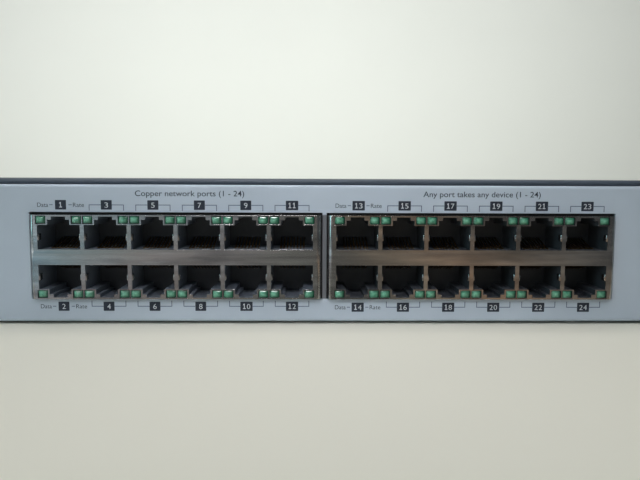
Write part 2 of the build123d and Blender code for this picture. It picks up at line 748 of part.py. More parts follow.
# ---------------------------------------------------------------- mains inlet
inlet_flange = (50.0, 22.6)
inlet_flange_corner = 5.0
inlet_flange_edge = 0.6
inlet_recess = (24.4, 16.6)
inlet_recess_chamfer = 4.0
inlet_recess_depth = 16.0
inlet_wall = 2.6
inlet_front = rear_y + jack_proud  # its flange stands out at the rear as far as the sockets do at the front
inlet_flange_depth = inlet_front - rear_wall_y
blade = (2.0, 4.0)
blade_length = 14.0
blade_tail = 6.0
blades = ((-7.0, -2.0), (0.0, 2.0), (7.0, -2.0))
recess_floor_y = inlet_front - inlet_recess_depth

with BuildPart() as ac_inlet:
    with BuildSketch(facing_front(inlet_front)):
        with Locations((inlet_x, inlet_z)):
            RectangleRounded(*inlet_flange, inlet_flange_corner)
    extrude(amount=inlet_flange_depth)
    fillet(ac_inlet.faces().sort_by(Axis.Y)[-1].edges(), inlet_flange_edge)
    with BuildSketch(facing_front(rear_wall_y)):
        with Locations((inlet_x, inlet_z)):
            Rectangle(*inlet_body)
    extrude(amount=rear_wall_y - recess_floor_y + inlet_wall)
    with BuildSketch(facing_front(inlet_front)) as recess:
        with Locations((inlet_x, inlet_z)):
            Rectangle(*inlet_recess)
        chamfer(recess.vertices().group_by(Axis.Y)[-1], inlet_recess_chamfer)
    extrude(amount=inlet_recess_depth, mode=Mode.SUBTRACT)
    with BuildSketch(facing_front(recess_floor_y)):
        with Locations(*[(inlet_x + x, inlet_z + z) for x, z in blades]):
            Rectangle(blade[0] + 2 * touch, blade[1] + 2 * touch)
    extrude(amount=inlet_wall, mode=Mode.SUBTRACT)
    for side in (-1, 1):
        with Locations(Plane(origin=(inlet_x + side * inlet_screw_spacing / 2, inlet_front, inlet_z),
                             z_dir=(0, 1, 0))):
            CounterSinkHole(screw_hole_radius, flat_head_radius + touch, depth=inlet_flange_depth)
save(ac_inlet, "ac_inlet")

blade_end_y = recess_floor_y - inlet_wall - blade_tail
with BuildPart() as inlet_blades:
    for blade_x, blade_z in blades:
        with Locations((inlet_x + blade_x, blade_end_y, inlet_z + blade_z)):
            Box(blade[0], recess_floor_y + blade_length - blade_end_y, blade[1], align=REARWARD)
save(inlet_blades, "inlet_blades")

with BuildPart() as inlet_screws:
    for side in (-1, 1):
        with Locations(Plane(origin=(inlet_x + side * inlet_screw_spacing / 2, inlet_front, inlet_z),
                             z_dir=(0, 1, 0))):
            add(flat_screw(long_screw_length))
save(inlet_screws, "inlet_screws")

input_header_y = 78.0
input_header = (22.0, 8.0)
input_wire = (1.1, 3.0)
with BuildPart() as psu_input_header:
    with Locations((inlet_x, input_header_y, board_top)):
        Box(*input_header, header_height, align=SEATED)
save(psu_input_header, "psu_input_header")

with BuildPart() as inlet_leads:
    for blade_x, blade_z in blades:
        add(lead([(inlet_x + blade_x, blade_end_y, inlet_z + blade_z),
                  (inlet_x + blade_x, input_header_y, inlet_z + blade_z),
                  (inlet_x + blade_x, input_header_y, header_top)], *input_wire))
save(inlet_leads, "inlet_leads")

# ---------------------------------------------------------------- fans
shaft_radius = 1.0
boss_radius = 10.0
hub_radius = 11.5
blade_tip_radius = fan_duct_radius - 0.6
strut_thickness = 2.0
strut_width = 2.5
fan_corner = 3.0
fan_blades = 7
fan_blade_thickness = 1.2
fan_blade_pitch = 35.0  # degrees that a blade leans from the shaft
rotor_start = 2.0  # how far the rotor stands behind the mounting face
rotor_play = 1.0  # between the rotor and the struts
shaft_play = 0.2  # between the shaft's end and the frame's rear face
blade_root = 4.0  # how far a blade reaches into the hub and past the tip circle, before trimming


def fan_frame_shape():
    """Square fan frame with its duct along Z, its mounting face at the origin."""
    with BuildPart() as frame:
        Box(fan_size, fan_size, fan_depth, align=SEATED)
        fillet(frame.edges().filter_by(Axis.Z), fan_corner)
        Cylinder(fan_duct_radius, fan_depth, align=SEATED, mode=Mode.SUBTRACT)
        with Locations((0, 0, fan_depth)):
            Cylinder(boss_radius, strut_thickness, align=(Align.CENTER, Align.CENTER, Align.MAX))
            with PolarLocations((boss_radius + fan_duct_radius) / 2, 4, start_angle=45):
                Box(fan_duct_radius - boss_radius + strut_thickness, strut_width, strut_thickness,
                    align=(Align.CENTER, Align.CENTER, Align.MAX))
        with GridLocations(fan_hole_spacing, fan_hole_spacing, 2, 2):
            Cylinder(screw_hole_radius, fan_depth, align=SEATED, mode=Mode.SUBTRACT)
        with Locations((0, 0, fan_depth)):
            Cylinder(shaft_radius + touch, strut_thickness, mode=Mode.SUBTRACT,
                     align=(Align.CENTER, Align.CENTER, Align.MAX))
    return frame.part


def fan_rotor_shape():
    """Hub, pitched blades and shaft on Z, clear of the frame's struts."""
    rotor_depth = fan_depth - strut_thickness - rotor_start - rotor_play
    blade_span = blade_tip_radius - hub_radius + blade_root
    with BuildPart() as rotor:
        with Locations((0, 0, rotor_start)):
            with PolarLocations((hub_radius + blade_tip_radius) / 2, fan_blades):
                Box(blade_span, fan_blade_thickness, rotor_depth + rotor_start, align=SEATED,
                    rotation=(fan_blade_pitch, 0, 0))
        with Locations((0, 0, rotor_start)):
            Cylinder(blade_tip_radius, rotor_depth, align=SEATED, mode=Mode.INTERSECT)
            Cylinder(hub_radius, rotor_depth, align=SEATED)
            Cylinder(shaft_radius, fan_depth - rotor_start - shaft_play, align=SEATED)
    return rotor.part


fan_frame = fan_frame_shape()
fan_rotor = fan_rotor_shape()
for position, fan_y in fan_ys.items():
    fan_plane = Plane(origin=(-wall_x + sheet, fan_y, fan_z), z_dir=(1, 0, 0))
    with BuildPart() as placed_frame:
        with Locations(fan_plane):
            add(fan_frame)
    save(placed_frame, f"fan_frame_{position}")
    with BuildPart() as placed_rotor:
        with Locations(fan_plane):
            add(fan_rotor)
    save(placed_rotor, f"fan_rotor_{position}")

with BuildPart() as fan_screws:
    for fan_y in fan_ys.values():
        with Locations(Plane(origin=(-wall_x, fan_y, fan_z), z_dir=(-1, 0, 0))):
            with GridLocations(fan_hole_spacing, fan_hole_spacing, 2, 2):
                add(flat_screw(long_screw_length))
save(fan_screws, "fan_screws")

# ---------------------------------------------------------------- buttons and lamps
switch_front = front_y + 7.5
switch_size = (8.0, 6.5, 8.0)
collar_width = 1.0
collar_thickness = 1.0
cap_end = front_y + 5.0
plunger_radius = 1.2
plunger_end = switch_front + 2.0
plunger_hole_depth = 3.5
button_edge = 0.5
collar_front = front_y + sheet + touch

for name, button in buttons.items():
    with BuildPart() as cap:
        for start, end, radius in (
            (button["front"], collar_front, button["radius"]),
            (collar_front, collar_front + collar_thickness, button["radius"] + collar_width),
            (collar_front + collar_thickness, cap_end, button["radius"]),
        ):
            with BuildSketch(facing_front(end)):
                with Locations((button["x"], control_z)):
                    Circle(radius)
            extrude(amount=end - start)
        fillet(cap.edges().sort_by(Axis.Y)[0], button_edge)
    save(cap, f"{name}_button")

    with BuildPart() as plunger:
        with BuildSketch(facing_front(plunger_end)):
            with Locations((button["x"], control_z)):
                Circle(plunger_radius)
        extrude(amount=plunger_end - cap_end)
    save(plunger, f"{name}_plunger")

    with BuildPart() as switch_body:
        with Locations((button["x"], switch_front, board_top)):
            Box(*switch_size, align=REARWARD_SEATED)
        with BuildSketch(facing_front(switch_front)):
            with Locations((button["x"], control_z)):
                Circle(plunger_radius + touch)
        extrude(amount=-plunger_hole_depth, mode=Mode.SUBTRACT)
    save(switch_body, f"{name}_switch")

lamp_front = front_y - 0.7
lamp_rear = front_y + 7.0
lamp_crown = 1.2
lamp_holder_size = (lamp_xs[-1] - lamp_xs[0] + 8.0, 6.0, 7.0)
with BuildPart() as status_lamps:
    with BuildSketch(facing_front(lamp_rear)):
        with Locations(*[(x, control_z) for x in lamp_xs]):
            Circle(lamp_radius)
    extrude(amount=lamp_rear - lamp_front)
    fillet(status_lamps.edges().group_by(Axis.Y)[0], lamp_crown)
save(status_lamps, "status_lamps")

with BuildPart() as lamp_holder:
    with Locations(((lamp_xs[0] + lamp_xs[-1]) / 2, lamp_rear, board_top)):
        Box(*lamp_holder_size, align=REARWARD_SEATED)
save(lamp_holder, "lamp_holder")
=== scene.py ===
"""Looks of the desktop network switch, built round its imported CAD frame. Lengths are in metres."""

import json
import math

import bmesh
import bpy
from mathutils import Matrix, Vector


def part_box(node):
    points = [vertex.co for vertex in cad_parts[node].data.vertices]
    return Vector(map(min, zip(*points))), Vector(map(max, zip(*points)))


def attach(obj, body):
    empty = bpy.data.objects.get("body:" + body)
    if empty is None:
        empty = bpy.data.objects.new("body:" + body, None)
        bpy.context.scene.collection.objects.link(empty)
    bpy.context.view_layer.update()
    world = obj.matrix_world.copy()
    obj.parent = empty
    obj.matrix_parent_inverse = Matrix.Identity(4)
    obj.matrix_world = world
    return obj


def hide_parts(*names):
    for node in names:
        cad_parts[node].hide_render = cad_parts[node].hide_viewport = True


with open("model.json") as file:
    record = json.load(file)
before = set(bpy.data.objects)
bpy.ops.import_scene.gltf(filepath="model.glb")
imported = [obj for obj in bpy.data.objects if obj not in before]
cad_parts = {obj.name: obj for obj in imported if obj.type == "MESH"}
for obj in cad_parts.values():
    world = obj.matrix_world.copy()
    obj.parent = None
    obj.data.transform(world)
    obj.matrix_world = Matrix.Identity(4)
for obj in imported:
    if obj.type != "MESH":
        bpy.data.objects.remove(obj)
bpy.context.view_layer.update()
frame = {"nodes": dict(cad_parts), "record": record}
nodes = frame["nodes"]
record = frame["record"]
MM = 0.001

# ---------------------------------------------------------------- places read from the frame
panel_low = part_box("front_panel")[0]
panel_face = panel_low.y
panel_bottom = panel_low.z
ports = {
    int(mount["name"][-2:]): Vector(mount["pos_m"])
    for mount in record["mounts"]
    if mount["name"].startswith("port_")
}
shield_boxes = {block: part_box(f"jack_shield_{block}") for block in ("left", "right")}
socket_face = shield_boxes["left"][0].y
socket_mid = (shield_boxes["left"][0].z + shield_boxes["left"][1].z) / 2
web_x = (shield_boxes["left"][1].x + shield_boxes["right"][0].x) / 2

# ---------------------------------------------------------------- camera
CAMERA_LEFT = 4.76 * MM  # of the web between the socket blocks
CAMERA_AWAY = 193.8 * MM  # in front of the panel's face
CAMERA_UP = 44.0 * MM  # over the panel's lower edge
CAMERA_TURN = -1.0  # degrees, as the next two are
CAMERA_DIP = 5.5
CAMERA_ROLL = 0.233


def aim_camera():
    """Camera close in front of the sockets, level with the cover and tilted a little down."""
    data = bpy.data.cameras.new("camera")
    data.sensor_width = 36.0
    data.lens = 36.0
    data.clip_start = 0.01
    camera = bpy.data.objects.new("camera", data)
    bpy.context.scene.collection.objects.link(camera)
    place = Vector((web_x - CAMERA_LEFT, panel_face - CAMERA_AWAY, panel_bottom + CAMERA_UP))
    turn = Matrix.Rotation(math.radians(CAMERA_TURN), 4, "Z")
    tilt = Matrix.Rotation(math.radians(90 - CAMERA_DIP), 4, "X")
    roll = Matrix.Rotation(math.radians(CAMERA_ROLL), 4, "Z")
    camera.matrix_world = Matrix.Translation(place) @ turn @ tilt @ roll
    bpy.context.scene.camera = camera


# ---------------------------------------------------------------- materials
def linear(r, g, b):
    """Screen colour in 0-255 as a linear colour."""
    values = []
    for c in (r, g, b):
        c /= 255
        values.append(c / 12.92 if c <= 0.04045 else ((c + 0.055) / 1.055) ** 2.4)
    return (*values, 1.0)


def grey(level):
    """Grey of a mask, where 0 is none of it and 1 all of it."""
    return (level, level, level, 1)


class Surface:
    """A node material: one shader, and textures that vary its colour, roughness and height."""

    def __init__(self, name, color, roughness, metallic=0.0, **sockets):
        self.mat = bpy.data.materials.new(name)
        self.mat.use_nodes = True
        self.tree = self.mat.node_tree
        self.shader = self.tree.nodes["Principled BSDF"]
        self.color = color
        self.shader.inputs["Base Color"].default_value = color
        self.shader.inputs["Roughness"].default_value = roughness
        self.shader.inputs["Metallic"].default_value = metallic
        for socket, value in sockets.items():
            self.shader.inputs[socket.replace("_", " ")].default_value = value
        self.roughness = roughness
        self.place = self.add("ShaderNodeTexCoord").outputs["Object"]
        self.height = None

    def add(self, kind, **values):
        node = self.tree.nodes.new(kind)
        for key, value in values.items():
            setattr(node, key, value)
        return node

    def link(self, a, b):
        self.tree.links.new(a, b)

    def noise(self, size, detail, stretch=(1, 1, 1)):
        """Noise whose features are about size metres across, stretched along each axis."""
        mapping = self.add("ShaderNodeMapping")
        mapping.inputs["Scale"].default_value = [1 / (size * s) for s in stretch]
        self.link(self.place, mapping.inputs["Vector"])
        noise = self.add("ShaderNodeTexNoise")
        noise.inputs["Scale"].default_value = 1.0
        noise.inputs["Detail"].default_value = detail
        self.link(mapping.outputs["Vector"], noise.inputs["Vector"])
        return noise.outputs["Fac"]

    def ramp(self, factor, low, high, a, b):
        """Factor from low to high becomes a to b, which are colours or numbers."""
        if isinstance(a, (int, float)):
            node = self.add("ShaderNodeMapRange")
            limits = {"From Min": low, "From Max": high, "To Min": a, "To Max": b}
            for socket, value in limits.items():
                node.inputs[socket].default_value = value
            self.link(factor, node.inputs["Value"])
            return node.outputs["Result"]
        node = self.add("ShaderNodeValToRGB")
        stops = node.color_ramp.elements
        stops[0].position, stops[0].color = low, a
        stops[1].position, stops[1].color = high, b
        self.link(factor, node.inputs["Fac"])
        return node.outputs["Color"]

    def mix(self, factor, a, b):
        """Colour a where factor is 0 and b where it is 1."""
        node = self.add("ShaderNodeMix", data_type="RGBA")
        for socket, value in ((node.inputs[0], factor), (node.inputs[6], a), (node.inputs[7], b)):
            if isinstance(value, bpy.types.NodeSocket):
                self.link(value, socket)
            else:
                socket.default_value = value
        return node.outputs[2]

    def tint(self, color):
        self.link(color, self.shader.inputs["Base Color"])
        return self

    def mottle(self, size, amount, stretch=(1, 1, 1)):
        """Colour that varies by amount, lighter and darker, over about size metres."""
        dark = [c * (1 - amount) for c in self.color[:3]] + [1.0]
        light = [min(1.0, c * (1 + amount)) for c in self.color[:3]] + [1.0]
        return self.tint(self.ramp(self.noise(size, 3.0, stretch), 0.3, 0.7, dark, light))

    def gloss(self, size, spread, stretch=(1, 1, 1), detail=3.0):
        """Roughness that varies by spread over about size metres."""
        low, high = max(0.02, self.roughness - spread), min(1.0, self.roughness + spread)
        shine = self.ramp(self.noise(size, detail, stretch), 0.3, 0.7, low, high)
        self.link(shine, self.shader.inputs["Roughness"])
        return self

    def bumps(self, size, depth, stretch=(1, 1, 1)):
        """Fine relief, depth metres high and about size metres across, over any it has already."""
        bump = self.add("ShaderNodeBump")
        bump.inputs["Strength"].default_value = 1.0
        bump.inputs["Distance"].default_value = depth
        self.link(self.noise(size, 2.0, stretch), bump.inputs["Height"])
        if self.height:
            self.link(self.height, bump.inputs["Normal"])
        self.height = bump.outputs["Normal"]
        self.link(self.height, self.shader.inputs["Normal"])
        return self

    def paint_texture(self):
        """The fine grain and the longer waves of powder paint."""
        return self.bumps(0.45 * MM, 0.006 * MM).bumps(2.5 * MM, 0.01 * MM)


def powder_paint(name, color, roughness):
    """Powder paint, with clouds of handling marks and thin scuffs that shine a little more."""
    paint = Surface(name, color, roughness, Specular_IOR_Level=0.4)
    worn = [min(1.0, c * 1.22) for c in color[:3]] + [1.0]
    dull = [c * 0.95 for c in color[:3]] + [1.0]
    cloud = paint.ramp(paint.noise(34 * MM, 5.0), 0.35, 0.7, dull, color)
    scratches = paint.noise(5 * MM, 4.0, (9, 0.5, 1))
    paint.tint(paint.mix(paint.ramp(scratches, 0.66, 0.74, grey(0), grey(0.6)), cloud, worn))
    return paint.gloss(11 * MM, 0.045, detail=5.0).paint_texture().mat


WEB_REACH = 1.6 * MM  # how far the painted shade on the web reaches to each side of its middle
WEB_HALF = 12.7 * MM  # and how far up and down
SHADE_FADE = 0.4 * MM


def panel_paint():
    """Powder paint with painted shade on the narrow web between the two socket blocks, dark grey
    where the shields' shadow falls.
    """
    paint = Surface("panel_paint", linear(178, 190, 203), 0.42, Specular_IOR_Level=0.4)
    spot = paint.add("ShaderNodeSeparateXYZ")
    paint.link(paint.place, spot.inputs["Vector"])
    # Mask of painted shade on the web between the blocks, standing in for the shields' shadow.
    web_shade = paint.add("ShaderNodeMath", operation="MULTIPLY")
    limits = (("X", web_x, WEB_REACH), ("Z", socket_mid, WEB_HALF))
    for i, (axis, middle, reach) in enumerate(limits):
        off = paint.add("ShaderNodeMath", operation="SUBTRACT")
        off.inputs[1].default_value = middle
        paint.link(spot.outputs[axis], off.inputs[0])
        away = paint.add("ShaderNodeMath", operation="ABSOLUTE")
        paint.link(off.outputs[0], away.inputs[0])
        within = paint.ramp(away.outputs[0], reach, reach + SHADE_FADE, 1.0, 0.0)
        paint.link(within, web_shade.inputs[i])
    shades = linear(175, 187, 200), linear(181, 193, 206)
    clean = paint.ramp(paint.noise(18 * MM, 3.0), 0.3, 0.7, *shades)
    # Painted shade: inside the mask the web turns dark grey.
    paint.tint(paint.mix(web_shade.outputs[0], clean, linear(104, 108, 114)))
    return paint.gloss(3 * MM, 0.05).paint_texture().mat


def plated(name, color, roughness, along=(1, 1, 1)):
    """Plated or rolled sheet, with its streaks along the stretched axis."""
    metal = Surface(name, color, roughness, metallic=1.0)
    metal.mottle(6 * MM, 0.12, along).gloss(2 * MM, 0.06, along)
    return metal.bumps(0.5 * MM, 0.004 * MM, along).mat


def tin_plate():
    """Half-bright tin over steel, with drawn streaks, dull patches and a faint straw tarnish."""
    streak = (14, 14, 0.7)
    metal = Surface("tin_plate", linear(160, 159, 156), 0.2, metallic=1.0)
    drawn = metal.noise(2.2 * MM, 4.0, streak)
    clean = metal.ramp(drawn, 0.25, 0.75, linear(146, 146, 145), linear(198, 198, 196))
    stain = metal.ramp(metal.noise(22 * MM, 3.0, (1.4, 1, 0.6)), 0.5, 0.7, grey(0), grey(0.5))
    tarnished = metal.mix(stain, clean, linear(164, 154, 140))
    smudge = metal.ramp(metal.noise(7 * MM, 4.0, (3, 3, 0.8)), 0.5, 0.7, grey(0), grey(0.6))
    metal.tint(metal.mix(smudge, tarnished, linear(110, 110, 110)))
    metal.gloss(1.6 * MM, 0.06, streak).bumps(0.8 * MM, 0.003 * MM, streak)
    return metal.bumps(14 * MM, 0.1 * MM, (1.8, 1, 0.5)).mat


def moulded(name, color, roughness, grain=0.25 * MM):
    """Moulded plastic or rubber, with a fine grain."""
    plastic = Surface(name, color, roughness)
    return plastic.mottle(5 * MM, 0.12).gloss(1.5 * MM, 0.06).bumps(grain, 0.004 * MM).mat


def lens_plastic(name, color):
    """Tinted lens, cloudy inside."""
    lens = Surface(name, color, 0.16, Coat_Weight=0.6, Coat_Roughness=0.05, Specular_IOR_Level=0.6)
    return lens.mottle(0.9 * MM, 0.22).gloss(0.8 * MM, 0.05).bumps(0.7 * MM, 0.004 * MM).mat


def crowned_lens_plastic():
    """Tinted lens with a painted highlight, a pale spot left of the middle, and painted shade that
    deepens its colour towards the rim, which its mesh marks.
    """
    lens = Surface("crowned_lens", linear(70, 140, 115), 0.14, Coat_Weight=0.8, Coat_Roughness=0.04)
    # Painted highlight and painted shade: pale at a spot left of the middle, deep green towards the
    # rim.
    lens_shade = lens.add("ShaderNodeAttribute", attribute_name="lens_shade").outputs["Fac"]
    shades = linear(66, 140, 112), linear(122, 186, 158)
    cloudy = lens.ramp(lens.noise(0.8 * MM, 3.0), 0.3, 0.7, *shades)
    lens.tint(lens.mix(lens.ramp(lens_shade, 0.2, 0.95, grey(0), grey(1)), cloudy, linear(20, 76, 56)))
    return lens.gloss(0.8 * MM, 0.04).bumps(0.7 * MM, 0.004 * MM).mat


def printed_ink(name, color):
    """Screen-printed ink: slightly uneven cover over the paint."""
    ink = Surface(name, color, 0.5)
    return ink.mottle(0.5 * MM, 0.15).gloss(0.4 * MM, 0.06).bumps(0.2 * MM, 0.002 * MM).mat


def circuit_board():
    """Green solder mask over laminate, with tracks under it."""
    mask = linear(18, 78, 44)
    board = Surface("circuit_board", mask, 0.32, Coat_Weight=0.3, Coat_Roughness=0.1)
    tracks = board.add("ShaderNodeTexBrick")
    tracks.inputs["Scale"].default_value = 90.0
    tracks.inputs["Mortar Size"].default_value = 0.012
    tracks.inputs["Color1"].default_value = mask
    tracks.inputs["Color2"].default_value = linear(22, 88, 50)
    tracks.inputs["Mortar"].default_value = linear(40, 120, 70)
    board.link(board.place, tracks.inputs["Vector"])
    board.tint(tracks.outputs["Color"])
    return board.gloss(4 * MM, 0.06).bumps(0.8 * MM, 0.006 * MM).mat


ALONG_X = (12, 1, 1)
FINISHES = {
    "panel_paint": panel_paint(),
    "cover_paint": powder_paint("cover_paint", linear(72, 82, 94), 0.42),
    "zinc_steel": plated("zinc_steel", linear(176, 177, 174), 0.38, ALONG_X),
    "screw_steel": plated("screw_steel", linear(170, 170, 170), 0.3),
    "standoff_brass": plated("standoff_brass", linear(196, 166, 92), 0.3),
    "rivet_steel": plated("rivet_steel", linear(160, 160, 160), 0.4),
    "foot_rubber": moulded("foot_rubber", linear(34, 34, 35), 0.75, 0.5 * MM),
    "circuit_board": circuit_board(),
    "tin_plate": tin_plate(),
    "jack_plastic": moulded("jack_plastic", linear(66, 71, 77), 0.45),
    "gold_plate": plated("gold_plate", linear(120, 96, 56), 0.4),
    "lens_green": lens_plastic("lens_green", linear(66, 142, 112)),
    "chip_plastic": moulded("chip_plastic", linear(36, 36, 38), 0.6),
    "sink_aluminium": plated("sink_aluminium", linear(88, 90, 94), 0.42, ALONG_X),
    "capacitor_sleeve": moulded("capacitor_sleeve", linear(24, 28, 60), 0.3),
    "can_steel": plated("can_steel", linear(190, 190, 190), 0.3),
    "white_nylon": moulded("white_nylon", linear(224, 221, 210), 0.5),
    "wire_insulation": moulded("wire_insulation", linear(120, 22, 22), 0.4),
    "ferrite": moulded("ferrite", linear(52, 52, 54), 0.55),
    "winding_tape": moulded("winding_tape", linear(206, 172, 60), 0.4),
    "fuse_cover": moulded("fuse_cover", linear(54, 54, 56), 0.35),
    "insulating_sheet": moulded("insulating_sheet", linear(222, 222, 218), 0.35),
    "inlet_plastic": moulded("inlet_plastic", linear(30, 30, 32), 0.42),
    "blade_metal": plated("blade_metal", linear(205, 202, 192), 0.25),
    "fan_plastic": moulded("fan_plastic", linear(32, 32, 34), 0.45),
    "button_plastic": moulded("button_plastic", linear(84, 90, 100), 0.4),
    "switch_plastic": moulded("switch_plastic", linear(32, 32, 32), 0.5),
    "lamp_plastic": lens_plastic("lamp_plastic", linear(120, 176, 140)),
}

# Nodes given a lighter copy of their slot's finish as painted light: the left socket housing is
# painted lighter than the right one.
PAINTED_LIGHT_COPIES = {"jack_housing_left": moulded("jack_plastic_painted_light", linear(104, 113, 124), 0.4)}

SOFT_EDGES = {
    "jack_shield_left": 0.09 * MM,
    "jack_shield_right": 0.09 * MM,
    "front_panel": 0.08 * MM,
    "jack_housing_left": 0.12 * MM,
    "jack_housing_right": 0.12 * MM,
    "ac_inlet": 0.2 * MM,
    "top_cover": 0.12 * MM,
}


def finish_cad():
    """Each CAD node takes the finish of its slot in the record, or a lighter copy of it that is
    painted light.
    """
    for part in record["subparts"]:
        mesh = nodes[part["node"]].data
        mesh.materials.clear()
        # A lighter copy of a finish here is painted light, not a different plastic.
        mesh.materials.append(PAINTED_LIGHT_COPIES.get(part["node"], FINISHES[part["material_slot"]]))
    for node, radius in SOFT_EDGES.items():
        soften(nodes[node], radius)


def soften(item, radius):
    """Rounds a CAD node's sharp edges a little, as punching, moulding and paint leave them."""
    weld = item.modifiers.new("weld", "WELD")
    weld.merge_threshold = 0.0005 * MM
    bevel = item.modifiers.new("bevel", "BEVEL")
    bevel.width = radius
    bevel.segments = 2
    bevel.limit_method = "ANGLE"
    bevel.angle_limit = math.radians(50)
    bevel.use_clamp_overlap = True


# ---------------------------------------------------------------- mesh helpers
CORNER_STEPS = 5


def piece(name, mesh, finish, body="case"):
    """A new piece of the object, riding on a body."""
    item = bpy.data.objects.new(name, mesh)
    bpy.context.scene.collection.objects.link(item)
    mesh.materials.clear()
    mesh.materials.append(finish)
    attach(item, body)
    return item


def add_slab(bm, outline, y_front, y_back):
    """Closed slab from y_front back to y_back.

    Its outline is given as x and z, counter-clockwise as seen from the front.
    """
    front = [bm.verts.new((x, y_front, z)) for x, z in outline]
    back = [bm.verts.new((x, y_back, z)) for x, z in outline]
    bm.faces.new(front)
    bm.faces.new(reversed(back))
    count = len(outline)
    for i in range(count):
        j = (i + 1) % count
        bm.faces.new((front[j], front[i], back[i], back[j]))


def rectangle(x, z, w, h):
    left, right, low, high = x - w / 2, x + w / 2, z - h / 2, z + h / 2
    return [(left, low), (right, low), (right, high), (left, high)]


def rounded(x, z, w, h, radius):
    """Rectangle with round corners, counter-clockwise."""
    points = []
    for corner, (sx, sz) in enumerate(((1, 1), (-1, 1), (-1, -1), (1, -1))):
        cx, cz = x + sx * (w / 2 - radius), z + sz * (h / 2 - radius)
        for step in range(CORNER_STEPS + 1):
            angle = math.pi / 2 * (corner + step / CORNER_STEPS)
            points.append((cx + radius * math.cos(angle), cz + radius * math.sin(angle)))
    return points


def mesh_from(name, bm):
    mesh = bpy.data.meshes.new(name)
    bm.normal_update()
    bm.to_mesh(mesh)
    bm.free()
    return mesh


# ---------------------------------------------------------------- printing on the front panel
INK = 0.02 * MM  # how far a printed layer stands out of the one under it
ON_PANEL = (panel_face - INK, panel_face + INK)  # front and back of a layer printed on the paint
ON_BOXES = (panel_face - 2 * INK, panel_face)  # and of one printed over the number boxes
WHITE_INK = printed_ink("white_ink", linear(196, 202, 208))
NAVY_INK = printed_ink("navy_ink", linear(24, 34, 50))
LINE_INK = printed_ink("line_ink", linear(92, 100, 122))
CAPITAL = 0.73  # height of the built-in font's capitals at size 1

TOP_BOXES = panel_bottom + 35.8 * MM  # middles of the number boxes over and under the sockets
LOW_BOXES = panel_bottom + 4.85 * MM
BOX_HEIGHT = 2.85 * MM
NARROW_BOX = 3.3 * MM  # for one digit, and the wide one for two
WIDE_BOX = 3.75 * MM
BOX_CORNER = 0.15 * MM
DIGIT_HEIGHT = 1.65 * MM
DIGIT_WIDTH = 1.05 * MM
DIGIT_PITCH = 1.3 * MM
DIGIT_STROKE = 0.27 * MM
FLAG_REACH = 0.38 * MM  # of a 1, from its stem's middle to its flag's end
FOOT_WIDTH = 0.84 * MM

LINE = 0.24 * MM
BRACKET = 5.15 * MM  # from a port's centre line to its lamps
BRACKET_LEG = 1.75 * MM
WORDED = (1, 2, 13, 14)  # ports whose lamps are named instead of bracketed
WORD_PLACE = 5.35 * MM  # from a port's centre line to the middle of a lamp's name
WORD_DROP = 0.65 * MM
WORD_HEIGHT = 1.35 * MM
WORD_WIDTH = 3.3 * MM
DASH_PLACE = 2.85 * MM
DASH = 1.0 * MM
RIGHT_SHIFT = (0.42 * MM, -0.25 * MM)  # how far the right block's printing is off its sockets
WORDED_SHIFT = 0.3 * MM  # and that of the left block's worded ports

CAPTION_HEIGHT = 1.75 * MM
CAPTION_LEVEL = panel_bottom + 38.5 * MM
CAPTION_BOLD = 0.005  # how far the letters' outlines are pushed out, at size 1
CAPTIONS = (  # words, middle and width
    ("Copper network ports (1 - 24)", web_x - 40.7 * MM, 32.8 * MM),
    ("Any port takes any device (1 - 24)", web_x + 47.8 * MM, 35.8 * MM),
)

LAMP_WORDS = ("Power", "Fault", "Fans", "Data", "Rate")
LAMP_TITLE = "Unit state"
BUTTON_WORDS = {"mode_button": "Select", "reset_button": "Reset"}
LEGEND = 1.5 * MM  # height of these words' capitals
LAMP_WORD_RISE = 1.6 * MM  # over a lamp's top, and the next three under its lower edge
TICK_DROP = 1.4 * MM
RULE_DROP = 2.0 * MM
TITLE_DROP = 4.4 * MM
TICK = 1.2 * MM
BUTTON_CLEAR = 1.3 * MM
BUTTON_WORD_RISE = 0.9 * MM


def add_text(bm, words, height, x, z, layer, width=None, bold=0.0):
    """Words with capitals height tall, centred on x, standing on z and squeezed to any width."""
    curve = bpy.data.curves.new("words", "FONT")
    curve.body = words
    curve.size = 1.0
    curve.offset = bold
    curve.fill_mode = "BOTH"
    curve.extrude = 0.5
    holder = bpy.data.objects.new("words", curve)
    bpy.context.scene.collection.objects.link(holder)
    bpy.context.view_layer.update()
    graph = bpy.context.evaluated_depsgraph_get()
    mesh = bpy.data.meshes.new_from_object(holder.evaluated_get(graph))
    xs = [v.co.x for v in mesh.vertices]
    scale = height / CAPITAL
    across = width / (max(xs) - min(xs)) if width else scale
    middle = (max(xs) + min(xs)) / 2
    for v in mesh.vertices:
        along, up, out = v.co
        v.co = (x + (along - middle) * across, layer[0] if out > 0 else layer[1], z + up * scale)
    bm.from_mesh(mesh)
    bpy.data.objects.remove(holder)
    bpy.data.meshes.remove(mesh)
    bpy.data.curves.remove(curve)


def add_one(bm, x, z):
    """The figure 1, centred on x and z, as a stem with a foot and a flag."""
    top, low = z + DIGIT_HEIGHT / 2, z - DIGIT_HEIGHT / 2
    half = DIGIT_STROKE / 2
    stem = rectangle(x, z, DIGIT_STROKE, DIGIT_HEIGHT)
    foot = rectangle(x, low + half, FOOT_WIDTH, DIGIT_STROKE)
    flag = [
        (x - FLAG_REACH, top - 0.5 * MM),
        (x - half, top - 0.42 * MM),
        (x - half, top),
        (x - FLAG_REACH, top - 0.26 * MM),
    ]
    for outline in (stem, foot, flag):
        add_slab(bm, outline, *ON_BOXES)


